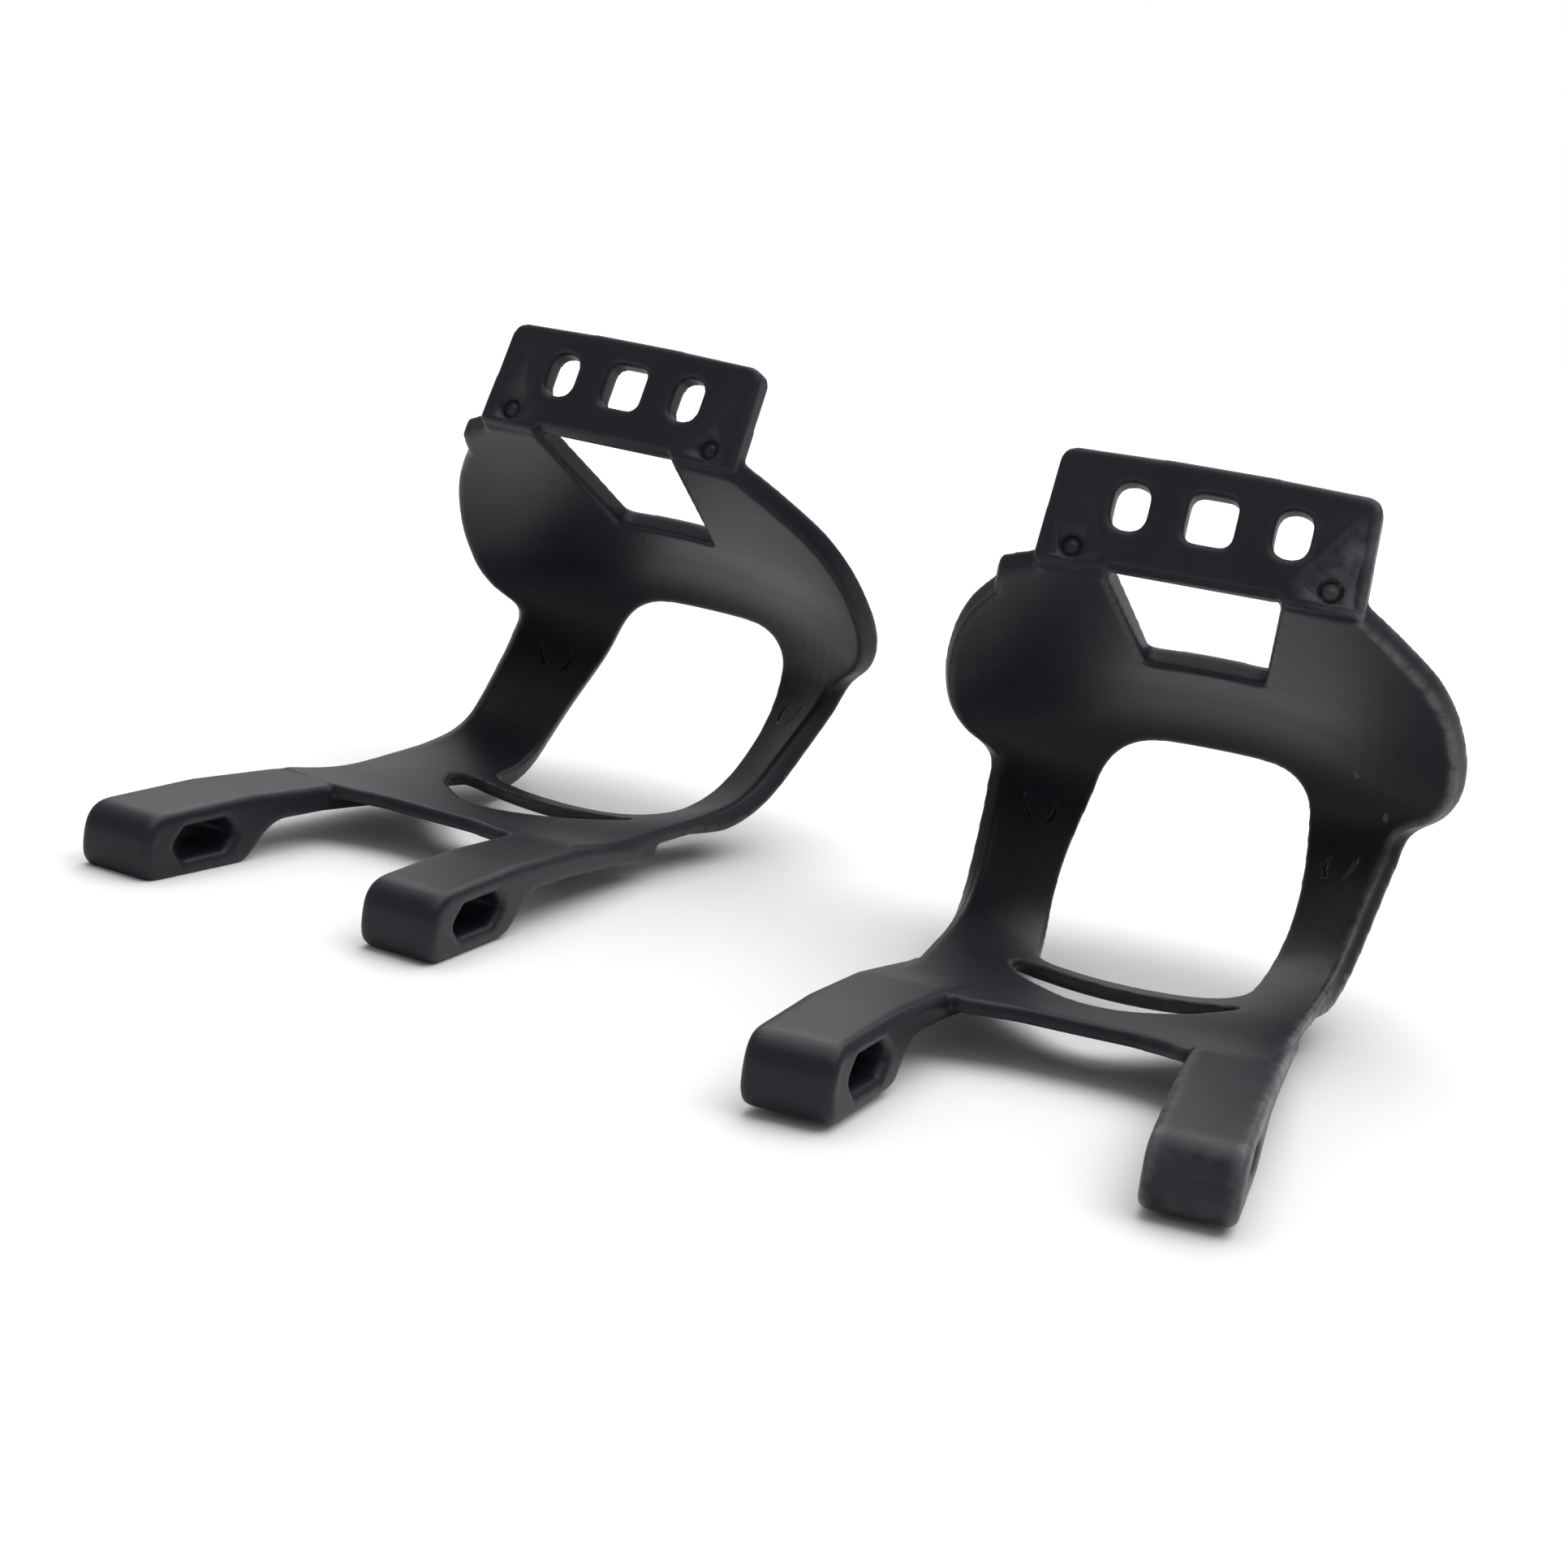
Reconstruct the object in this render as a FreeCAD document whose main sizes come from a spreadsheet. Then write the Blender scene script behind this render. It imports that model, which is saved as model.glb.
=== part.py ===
import FreeCAD, Part
import math
import os
import re

import Sketcher

# A pair of moulded toe clips for bicycle pedals. Each clip is one nylon moulding: a bolt plate,
# a curved cage that wraps the toe of the shoe, and two arms with loops for a strap.
#
# A clip is drawn in its own frame: X across, Y forward from the bolt plate to the nose of the
# cage, Z up the plate, with the front lower edge of the plate on the X axis. It is then leaned
# back until it stands on its loops and on the underside of the cage.

doc = FreeCAD.newDocument("ToeClips")
sheet = doc.addObject("Spreadsheet::Sheet", "Sizes")

sizes = {
    # bolt plate
    "plateWidth": 50.0,
    "plateHeight": 18.8,
    "plateThick": 4.2,
    "plateCorner": 2.5,
    "plateFlare": 0.7,
    "slotSpacing": 25.4,
    "slotWide": 6.2,
    "slotTall": 8.4,
    "slotLevel": 11.0,
    "squareWide": 8.2,
    "squareTall": 8.6,
    "squareCorner": 2.0,
    "roundelSpacing": 40.4,
    "roundelLevel": 3.1,
    "roundelWide": 4.2,
    "roundelDeep": 0.5,
    # cage
    "cageThick": 3.8,
    "roofPitch": 17.0,
    # window behind the plate
    "windowBack": 13.8,
    "windowFront": 9.7,
    "windowReach": 32.5,
    "windowRise": 2.4,
    "windowCorner": 2.0,
    "windowOverlap": 1.0,
    "notchDrop": 8.0,
    "windowCut": 30.0,
    # large opening in the nose
    "openTop": 12.0,
    "openBottom": 58.0,
    "openTopHalf": 16.5,
    "openMidHalf": 20.0,
    "openMidLevel": 40.0,
    "openBottomHalf": 16.0,
    "openCorner": 7.5,
    "cornerShare": 0.3,
    "openPlane": 60.0,
    "openCut": 72.0,
    # long slot in the roof
    "roofSlotHalf": 17.0,
    "roofSlotBack": 22.0,
    "roofSlotFront": 8.0,
    "slotEndCut": 1.0,
    "slotEndShare": 0.9,
    "slotWideShare": 0.95,
    "slotWideLevel": 0.45,
    "slotNarrowShare": 0.55,
    "slotNarrowLevel": 0.9,
    "roofSlotPlane": 62.0,
    "roofSlotCut": 40.0,
    # arms and strap loops
    "armInner": 15.5,
    "armWidth": 12.5,
    "armSpread": 7.0,
    "armThick": 4.4,
    "roofEdge": -14.0,
    "armCorner": 6.0,
    "armStart": 7.0,
    "armBack": 2.0,
    "armBend": 5.0,
    "armSink": 0.4,
    "armDraft": 2.0,
    "trimStart": 14.0,
    "trimBeyond": 10.0,
    "trimPlane": 22.0,
    "trimCut": 100.0,
    "loopAway": 43.0,
    "loopDrop": 88.6,
    "loopSlope": 25.0,
    "loopLength": 26.0,
    "loopThick": 11.0,
    "loopNeck": 4.0,
    "loopNeckDrop": 1.6,
    "loopEndCut": 3.0,
    "loopSideCut": 4.0,
    "loopShoulder": 1.0,
    "loopHeel": 2.0,
    "strapWide": 15.5,
    "strapTall": 5.4,
    "strapCut": 200.0,
    # how the pair stands
    "pairSpacing": 115.0,
    "pairStagger": 28.0,
    "toeIn": 5.5,
}

# Cross sections of the cage from the plate round the nose to the roof: name, forward and up
# place of the inner face on the middle plane, tilt of the section's outward direction from
# upright, half width, and radius to which the section is bent about the toe.
sections = [
    ("heel", 1.5, -0.2, 6.0, 25.6, 400.0),
    ("ledge", 9.5, -1.3, 7.0, 30.5, 300.0),
    ("flare", 20.0, -2.8, 10.0, 36.0, 180.0),
    ("shoulder", 32.0, -4.6, 18.0, 39.8, 120.0),
    ("brow", 44.0, -6.3, 30.0, 40.4, 80.0),
    ("cheek", 54.0, -9.0, 47.0, 37.5, 58.0),
    ("nose", 60.5, -16.0, 67.0, 34.0, 47.0),
    ("shank", 60.3, -25.5, 82.0, 32.0, 44.0),
    ("calf", 54.8, -38.5, 104.0, 31.0, 44.0),
    ("ankle", 48.5, -48.2, 126.0, 30.4, 48.0),
    ("chin", 40.0, -53.6, 146.0, 30.0, 60.0),
    ("crown", 30.0, -56.9, 157.0, 29.6, 85.0),
    ("bridge", 17.0, -60.9, 163.0, 29.2, 160.0),
    ("brim", 0.0, -66.1, 163.0, 29.0, 900.0),
]
for name, *values in sections:
    for part, value in zip(("Forward", "Up", "Tilt", "Half", "Bend"), values):
        sizes[name + part] = value

for row, (alias, value) in enumerate(sizes.items(), start=1):
    sheet.set(f"A{row}", alias)
    sheet.set(f"B{row}", str(value))
    sheet.setAlias(f"B{row}", alias)
doc.recompute()

size = {alias: float(sheet.get(alias)) for alias in sizes}
origin = (-1, 1)
upAxis = -2
throughPlate = "2 * plateThick + 2"
touching = 0.01  # two places this near are the same, in mm
closeBy = 0.5  # an edge this near to a place belongs to it, in mm
leastCut = 0.5  # a pocket takes off at least this much, in cubic mm
lookTurn = 1  # any turn but zero, so that a rotation keeps its axis, in degrees


def bound(formula):
    """The formula with each size's name pointing at its cell in the sheet."""
    return re.sub(r"[A-Za-z]+", lambda m: "Sizes." + m[0] if m[0] in size else m[0], formula)


def planeOf(body, role):
    return next(f for f in body.Origin.OriginFeatures if f.Role == role)


def newSketch(body, name, role, base=("0", "0", "0"), turn="0"):
    """A sketch on one of the body's origin planes, moved along it and turned about its X axis."""
    sketch = body.newObject("Sketcher::SketchObject", name)
    sketch.AttachmentSupport = [(planeOf(body, role), "")]
    sketch.MapMode = "FlatFace"
    sketch.AttachmentOffset = FreeCAD.Placement(
        FreeCAD.Vector(0, 0, 0), FreeCAD.Rotation(FreeCAD.Vector(1, 0, 0), lookTurn)
    )
    for axis, formula in zip("xyz", base):
        sketch.setExpression("AttachmentOffset.Base." + axis, bound(formula))
    sketch.setExpression("AttachmentOffset.Rotation.Angle", bound(turn))
    return sketch


def pin(sketch, geometry, end, across, up):
    """Holds one end of a line at a place given by two formulas."""
    for kind, formula in (("DistanceX", across), ("DistanceY", up)):
        index = sketch.addConstraint(Sketcher.Constraint(kind, *origin, geometry, end, 1.0))
        sketch.setExpression(f"Constraints[{index}]", bound(formula))


def addPolygon(sketch, corners):
    count = len(corners)
    ring = [
        FreeCAD.Vector(math.cos(2 * math.pi * i / count), math.sin(2 * math.pi * i / count), 0)
        for i in range(count)
    ]
    first = sketch.GeometryCount
    for i in range(count):
        sketch.addGeometry(Part.LineSegment(ring[i], ring[(i + 1) % count]), False)
    for i in range(count):
        after = first + (i + 1) % count
        sketch.addConstraint(Sketcher.Constraint("Coincident", first + i, 2, after, 1))
    for i, (across, up) in enumerate(corners):
        pin(sketch, first + i, 1, across, up)


def addCircle(sketch, across, up, radius):
    index = sketch.addGeometry(Part.Circle(FreeCAD.Vector(1, 1, 0), FreeCAD.Vector(0, 0, 1), 1), False)
    pin(sketch, index, 3, across, up)
    limit = sketch.addConstraint(Sketcher.Constraint("Radius", index, 1.0))
    sketch.setExpression(f"Constraints[{limit}]", bound(radius))


def addBand(sketch, name):
    """A curved strip as thick as the cage, its inner face through the sketch's origin."""
    half = size[name + "Half"]
    inner = size[name + "Bend"]
    outer = inner + size["cageThick"]
    centre = FreeCAD.Vector(0, -inner, 0)
    swing = math.asin(half / inner)
    low, high = math.pi / 2 - swing, math.pi / 2 + swing
    up = FreeCAD.Vector(0, 0, 1)
    for radius in (inner, outer):
        sketch.addGeometry(Part.ArcOfCircle(Part.Circle(centre, up, radius), low, high), False)
    for angle in (low, high):
        reach = FreeCAD.Vector(math.cos(angle), math.sin(angle), 0)
        sketch.addGeometry(Part.LineSegment(centre + reach * inner, centre + reach * outer), False)
    innerArc, outerArc, right, left = range(4)
    for line, end in ((right, 1), (left, 2)):
        sketch.addConstraint(Sketcher.Constraint("Coincident", line, 1, innerArc, end))
        sketch.addConstraint(Sketcher.Constraint("Coincident", line, 2, outerArc, end))
    sketch.addConstraint(Sketcher.Constraint("Coincident", innerArc, 3, outerArc, 3))
    sketch.addConstraint(Sketcher.Constraint("PointOnObject", innerArc, 3, upAxis))
    sketch.addConstraint(Sketcher.Constraint("Symmetric", innerArc, 1, innerArc, 2, upAxis))
    sketch.addConstraint(Sketcher.Constraint("PointOnObject", innerArc, 3, right))
    sketch.addConstraint(Sketcher.Constraint("PointOnObject", innerArc, 3, left))
    limits = (
        (Sketcher.Constraint("Radius", innerArc, inner), f"{name}Bend"),
        (Sketcher.Constraint("Radius", outerArc, outer), f"{name}Bend + cageThick"),
        (Sketcher.Constraint("DistanceY", innerArc, 3, *origin, inner), f"{name}Bend"),
        (Sketcher.Constraint("DistanceX", innerArc, 2, innerArc, 1, 2 * half), f"2 * {name}Half"),
    )
    for constraint, formula in limits:
        index = sketch.addConstraint(constraint)
        sketch.setExpression(f"Constraints[{index}]", bound(formula))


def buildCage():
    """The cage's solid: two lofts through its cross sections, which share the calf section."""
    bands = []
    for name, *_ in sections:
        band = doc.addObject("Sketcher::SketchObject", name + "Section")
        band.Placement = FreeCAD.Placement(
            FreeCAD.Vector(0, 0, 0), FreeCAD.Rotation(FreeCAD.Vector(1, 0, 0), lookTurn)
        )
        band.setExpression("Placement.Base.y", bound(name + "Forward"))
        band.setExpression("Placement.Base.z", bound(name + "Up"))
        band.setExpression("Placement.Rotation.Angle", bound(f"90 - {name}Tilt"))
        addBand(band, name)
        bands.append(band)
    doc.recompute()
    joint = [name for name, *_ in sections].index("calf")
    lofts = []
    for name, part in (("UpperCage", bands[: joint + 1]), ("LowerCage", bands[joint:])):
        loft = doc.addObject("Part::Loft", name)
        loft.Sections = part
        loft.Solid = True
        loft.Ruled = False
        lofts.append(loft)
    joined = doc.addObject("Part::MultiFuse", "Cage")
    joined.Shapes = lofts
    doc.recompute()
    return joined


def addPad(body, sketch, name, length, midplane=False, reverse=False):
    pad = body.newObject("PartDesign::Pad", name)
    pad.Profile = sketch
    pad.setExpression("Length", bound(length))
    pad.Midplane = midplane
    pad.Reversed = reverse
    return pad


def addPocket(body, sketch, name, length=None, midplane=False, reverse=False):
    """A pocket that must take something off the body."""
    before = body.Shape.Volume
    pocket = body.newObject("PartDesign::Pocket", name)
    pocket.Profile = sketch
    pocket.Midplane = midplane
    pocket.Reversed = reverse
    if length is None:
        pocket.Type = "ThroughAll"
    else:
        pocket.setExpression("Length", bound(length))
    doc.recompute()
    if body.Shape.Volume > before - leastCut:
        raise RuntimeError(name + " cuts nothing")
    return pocket


def addFillet(body, name, wanted, radius):
    """Rounds the edges of the body's tip that the test picks."""
    tip = body.Tip
    picked = [f"Edge{i}" for i, edge in enumerate(tip.Shape.Edges, start=1) if wanted(edge)]
    if not picked:
        raise RuntimeError(name + " finds no edge")
    fillet = body.newObject("PartDesign::Fillet", name)
    fillet.Base = (tip, picked)
    fillet.setExpression("Radius", bound(radius))
    doc.recompute()
    return fillet


def runsAlong(edge, axis):
    """Whether the edge is straight and runs along one of the frame's axes."""
    if edge.Curve.TypeId != "Part::GeomLine":
        return False
    run = edge.Vertexes[-1].Point - edge.Vertexes[0].Point
    return abs(abs(run[axis]) - run.Length) < touching


def loopPoint(along, above):
    """Side view place measured from the middle of the loop, along the arm and square to it."""
    forward = f"- loopAway - ( {along} ) * cos(loopSlope * 1deg ) - ( {above} ) * sin(loopSlope * 1deg )"
    up = f"- loopDrop - ( {along} ) * sin(loopSlope * 1deg ) + ( {above} ) * cos(loopSlope * 1deg )"
    return forward, up


def roofPoint(forward, above):
    """Side view place on the line of the roof's inner face, moved up by a distance."""
    return forward, f"brimUp + ( {forward} - brimForward ) * tan( roofPitch * 1deg ) + ( {above} )"


def addArms(body):
    side = newSketch(body, "ArmSide", "YZ_Plane")
    thick = "loopThick / 2"
    long = "loopLength / 2"
    outline = [
        roofPoint("brimForward + armStart", "- armSink"),
        roofPoint("brimForward - armBack", "- armSink"),
        roofPoint("roofEdge - armBend", "0"),
        loopPoint(f"- {long} - loopNeck", f"{thick} - loopNeckDrop"),
        loopPoint(f"- {long} + loopShoulder", thick),
        loopPoint(f"{long} - loopEndCut", thick),
        loopPoint(long, f"{thick} - loopSideCut"),
        loopPoint(long, f"loopSideCut - {thick}"),
        loopPoint(f"{long} - loopEndCut", f"- {thick}"),
        loopPoint(f"- {long} + loopHeel", f"- {thick}"),
        loopPoint(f"- {long} - loopNeck", f"{thick} - loopNeckDrop - armThick"),
        roofPoint("roofEdge - armBend", "- armThick"),
        roofPoint("brimForward - armBack", "armSink - cageThick"),
        roofPoint("brimForward + armStart", "armSink - cageThick"),
    ]
    addPolygon(side, outline)
    addPad(body, side, "ArmBlank", "2 * ( armInner + armWidth + armSpread + armCorner )", midplane=True)
    doc.recompute()

    reach = "- loopAway - loopLength"
    outer = "armInner + armWidth"
    wide = "armInner + armWidth + armSpread + trimBeyond"
    level = ("0", "0", "brimUp - trimPlane")
    gap = newSketch(body, "ArmGap", "XY_Plane", level)
    corners = [("- armInner", "roofEdge"), ("armInner", "roofEdge")]
    corners += [("armInner + armSpread", reach), ("- armInner - armSpread", reach)]
    addPolygon(gap, corners)
    addPocket(body, gap, "BetweenArms", "trimCut", midplane=True)
    for name, sign in (("LeftTrim", "- "), ("RightTrim", "")):
        trim = newSketch(body, name, "XY_Plane", level)
        corners = [(f"{sign}( {outer} - armDraft )", "trimStart"), (f"{sign}( {outer} )", "roofEdge")]
        corners += [(f"{sign}( {outer} + armSpread )", reach), (f"{sign}( {wide} )", reach)]
        corners += [(f"{sign}( {wide} )", "trimStart")]
        addPolygon(trim, corners)
        addPocket(body, trim, name + "Cut", "trimCut", midplane=True)

    def isInnerCorner(edge):
        middle = edge.CenterOfMass
        atEdge = abs(middle.y - size["roofEdge"]) < closeBy
        return runsAlong(edge, 2) and atEdge and abs(middle.x) < size["armInner"] + closeBy

    addFillet(body, "InnerCorners", isInnerCorner, "armCorner")


def addPlate(body):
    plate = newSketch(body, "PlateFace", "XZ_Plane")
    half = "plateWidth / 2"
    corners = [(f"- {half} - plateFlare", "0"), (f"{half} + plateFlare", "0")]
    corners += [(half, "plateHeight"), (f"- {half}", "plateHeight")]
    addPolygon(plate, corners)
    addPad(body, plate, "Plate", "plateThick", reverse=True)
    doc.recompute()

    def isTopCorner(edge):
        box = edge.BoundBox
        return box.ZMin > size["plateHeight"] - touching and box.XLength < touching

    addFillet(body, "PlateCorners", isTopCorner, "plateCorner")


def rectangle(centreX, centreY, wide, tall):
    low, high = f"{centreX} - ( {wide} ) / 2", f"{centreX} + ( {wide} ) / 2"
    under, over = f"{centreY} - ( {tall} ) / 2", f"{centreY} + ( {tall} ) / 2"
    return [(low, under), (high, under), (high, over), (low, over)]


def cutHoles(body):
    for name, sign in (("LeftBolt", "- "), ("RightBolt", "")):
        hole = newSketch(body, name, "XZ_Plane")
        middle = f"{sign}slotSpacing / 2"
        rise = "( slotTall - slotWide ) / 2"
        for part, level in (("Upper", f"slotLevel + {rise}"), ("Lower", f"slotLevel - {rise}")):
            end = newSketch(body, name + part, "XZ_Plane")
            addCircle(end, middle, level, "slotWide / 2")
            addPocket(body, end, name + part + "Cut", throughPlate, midplane=True)
        addPolygon(hole, rectangle(middle, "slotLevel", "slotWide", "slotTall - slotWide"))
        addPocket(body, hole, name + "Cut", throughPlate, midplane=True)
    square = newSketch(body, "SquareHole", "XZ_Plane")
    addPolygon(square, rectangle("0", "slotLevel", "squareWide", "squareTall"))
    addPocket(body, square, "SquareHoleCut", throughPlate, midplane=True)

    def isSquareCorner(edge):
        box = edge.BoundBox
        level = abs(edge.CenterOfMass.z - size["slotLevel"])
        thin = box.XLength < touching and box.ZLength < touching
        return thin and abs(edge.CenterOfMass.x) < size["squareWide"] and level < size["squareTall"]

    addFillet(body, "SquareHoleCorners", isSquareCorner, "squareCorner")
    for name, sign in (("LeftRoundel", "- "), ("RightRoundel", "")):
        roundel = newSketch(body, name, "XZ_Plane")
        addCircle(roundel, f"{sign}roundelSpacing / 2", "roundelLevel", "roundelWide / 2")
        addPocket(body, roundel, name + "Cut", "roundelDeep")


def cutOpenings(body):
    window = newSketch(body, "Window", "XY_Plane")
    corners = [("- windowBack", "plateThick - windowOverlap"), ("windowBack", "plateThick - windowOverlap")]
    corners += [("windowFront", "windowReach"), ("- windowFront", "windowReach")]
    addPolygon(window, corners)
    addPocket(body, window, "WindowCut", "windowCut", midplane=True)

    def isWindowCorner(edge):
        return runsAlong(edge, 2) and abs(edge.CenterOfMass.y - size["windowReach"]) < closeBy

    addFillet(body, "WindowCorners", isWindowCorner, "windowCorner")
    notch = newSketch(body, "WindowNotch", "XZ_Plane")
    corners = [("- windowBack", "- notchDrop"), ("windowBack", "- notchDrop")]
    corners += [("windowBack", "windowRise"), ("- windowBack", "windowRise")]
    addPolygon(notch, corners)
    addPocket(body, notch, "WindowNotchCut", throughPlate, midplane=True)

    slot = newSketch(body, "RoofSlot", "XY_Plane", ("0", "0", "- roofSlotPlane"))
    deep = "( roofSlotBack - roofSlotFront )"
    half = [("roofSlotHalf * slotEndShare", "roofSlotBack"), ("roofSlotHalf", "roofSlotBack - slotEndCut")]
    half += [("roofSlotHalf * slotWideShare", f"roofSlotBack - {deep} * slotWideLevel")]
    half += [("roofSlotHalf * slotNarrowShare", f"roofSlotBack - {deep} * slotNarrowLevel")]
    corners = half + [("0", "roofSlotFront")] + [(f"- {across}", on) for across, on in reversed(half)]
    addPolygon(slot, corners)
    addPocket(body, slot, "RoofSlotCut", "roofSlotCut", midplane=True)

    strap = newSketch(body, "StrapHole", "YZ_Plane")
    near, far = "strapWide / 2", "strapWide / 2 - strapTall / 2"
    tall = "strapTall / 2"
    corners = [loopPoint(f"- ( {far} )", tall), loopPoint(far, tall), loopPoint(near, "0")]
    corners += [loopPoint(far, f"- {tall}"), loopPoint(f"- ( {far} )", f"- {tall}")]
    corners += [loopPoint(f"- ( {near} )", "0")]
    addPolygon(strap, corners)
    addPocket(body, strap, "StrapHoleCut", "strapCut", midplane=True)

    opening = newSketch(body, "NoseOpening", "XZ_Plane", ("0", "0", "- openPlane"))
    near = "openCorner * cornerShare"
    half = [("openTopHalf - openCorner", "- openTop")]
    half += [(f"openTopHalf - {near}", f"- openTop - {near}")]
    half += [("openTopHalf", "- openTop - openCorner"), ("openMidHalf", "- openMidLevel")]
    half += [("openBottomHalf", "openCorner - openBottom")]
    half += [(f"openBottomHalf - {near}", f"{near} - openBottom")]
    half += [("openBottomHalf - openCorner", "- openBottom")]
    corners = half + [(f"- ( {across} )", up) for across, up in reversed(half)]
    addPolygon(opening, corners)
    addPocket(body, opening, "NoseOpeningCut", "openCut", midplane=True)


def buildClip(label):
    body = doc.addObject("PartDesign::Body", label)
    body.Label = label
    body.BaseFeature = cage
    doc.recompute()
    addArms(body)
    addPlate(body)
    cutHoles(body)
    cutOpenings(body)
    doc.recompute()
    return body


leanRange = (5, 60)  # between these the clip comes to rest, in degrees
leanHalvings = 40
restFineness = 0.1  # in mm


def restingLean(shape):
    """The angle by which a clip leans back when its loops and its cage both touch the ground."""
    points = shape.tessellate(restFineness)[0]
    front = [p for p in points if p.y < -size["loopAway"] / 2]
    back = [p for p in points if p.y > 0]
    low, high = (math.radians(angle) for angle in leanRange)
    for _ in range(leanHalvings):
        lean = (low + high) / 2
        heights = [
            min(p.z * math.cos(lean) - p.y * math.sin(lean) for p in side) for side in (front, back)
        ]
        if heights[0] < heights[1]:
            low = lean
        else:
            high = lean
    return math.degrees((low + high) / 2)


def standClip(body, lean, turn, across, forward):
    leaning = FreeCAD.Rotation(FreeCAD.Vector(1, 0, 0), -lean)
    turning = FreeCAD.Rotation(FreeCAD.Vector(0, 0, 1), turn)
    body.Placement = FreeCAD.Placement(FreeCAD.Vector(across, forward, 0), turning * leaning)


cage = buildCage()
clips = [buildClip("clip_left"), buildClip("clip_right")]
lean = restingLean(clips[0].Shape)
for clip, sign in zip(clips, (-1, 1)):
    across = sign * size["pairSpacing"] / 2
    standClip(clip, lean, sign * size["toeIn"], across, -sign * size["pairStagger"] / 2)
doc.recompute()

# the pair's frame has its origin in the middle of its footprint, on the ground
whole = FreeCAD.BoundBox()
for clip in clips:
    whole.add(clip.Shape.optimalBoundingBox(True))
shift = FreeCAD.Vector(-whole.Center.x, -whole.Center.y, -whole.ZMin)
for clip in clips:
    clip.Placement = FreeCAD.Placement(clip.Placement.Base + shift, clip.Placement.Rotation)
doc.recompute()

for thing in doc.Objects:
    if "Invalid" in thing.State or "Error" in thing.State:
        raise RuntimeError(f"{thing.Name} failed: {thing.State}")
os.makedirs("parts", exist_ok=True)
for clip in clips:
    if clip.Shape.isNull() or not clip.Shape.isValid():
        raise RuntimeError(clip.Label + " has no valid shape")
    if len(clip.Shape.Solids) != 1:
        raise RuntimeError(f"{clip.Label} has {len(clip.Shape.Solids)} solids")
    clip.Shape.exportStep(os.path.join("parts", clip.Label + ".step"))
    print(clip.Label, "volume", round(clip.Shape.Volume), "box", clip.Shape.BoundBox)
print("lean", round(lean, 4), "shift", shift, "size", whole.XLength, whole.YLength, whole.ZLength)
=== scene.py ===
import bpy, bmesh, math
from mathutils import Matrix, Vector


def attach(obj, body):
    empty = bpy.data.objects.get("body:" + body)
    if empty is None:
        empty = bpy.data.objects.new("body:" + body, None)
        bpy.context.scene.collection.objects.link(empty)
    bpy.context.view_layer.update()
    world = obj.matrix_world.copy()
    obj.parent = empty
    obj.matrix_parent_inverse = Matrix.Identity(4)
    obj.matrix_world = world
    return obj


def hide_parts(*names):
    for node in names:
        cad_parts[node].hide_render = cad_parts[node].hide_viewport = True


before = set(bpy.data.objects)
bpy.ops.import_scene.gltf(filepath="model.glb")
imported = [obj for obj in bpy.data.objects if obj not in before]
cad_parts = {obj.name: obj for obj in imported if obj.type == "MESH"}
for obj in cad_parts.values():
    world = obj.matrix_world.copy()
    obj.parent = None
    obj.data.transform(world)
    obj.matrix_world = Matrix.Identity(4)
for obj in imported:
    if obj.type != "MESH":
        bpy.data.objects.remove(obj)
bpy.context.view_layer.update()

scene = bpy.context.scene
mm = 0.001

# how the two clips stand: leant back onto their loops, the right one nearer the front
pair = {
    "lean": 24.1159,
    "toeIn": 5.5,
    "spacing": 115.0,
    "stagger": 28.0,
    "shift": (0.0, 19.4883, 68.9533),
}


def standing(side):
    leaning = Matrix.Rotation(math.radians(-pair["lean"]), 4, "X")
    turning = Matrix.Rotation(math.radians(side * pair["toeIn"]), 4, "Z")
    base = Vector((side * pair["spacing"] / 2, -side * pair["stagger"] / 2, 0)) + Vector(pair["shift"])
    return Matrix.Translation(base * mm) @ turning @ leaning @ Matrix.Scale(mm, 4)


view = {
    "stand": (186.0, -486.7, 145.6),  # in mm
    "turn": 22.19,
    "dip": 13.08,
    "roll": 7.82,
    "lens": 76.55,
    "shift": (0.0376, 0.0),
}
camera = bpy.data.objects.new("camera", bpy.data.cameras.new("camera"))
scene.collection.objects.link(camera)
camera.data.sensor_width = 36
camera.data.lens = view["lens"]
camera.data.shift_x, camera.data.shift_y = view["shift"]
camera.data.clip_start = 0.02
camera.data.clip_end = 20
camera.matrix_world = (
    Matrix.Translation(Vector(view["stand"]) * mm)
    @ Matrix.Rotation(math.radians(view["turn"]), 4, "Z")
    @ Matrix.Rotation(math.radians(90 - view["dip"]), 4, "X")
    @ Matrix.Rotation(math.radians(view["roll"]), 4, "Z")
)
scene.camera = camera


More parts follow.
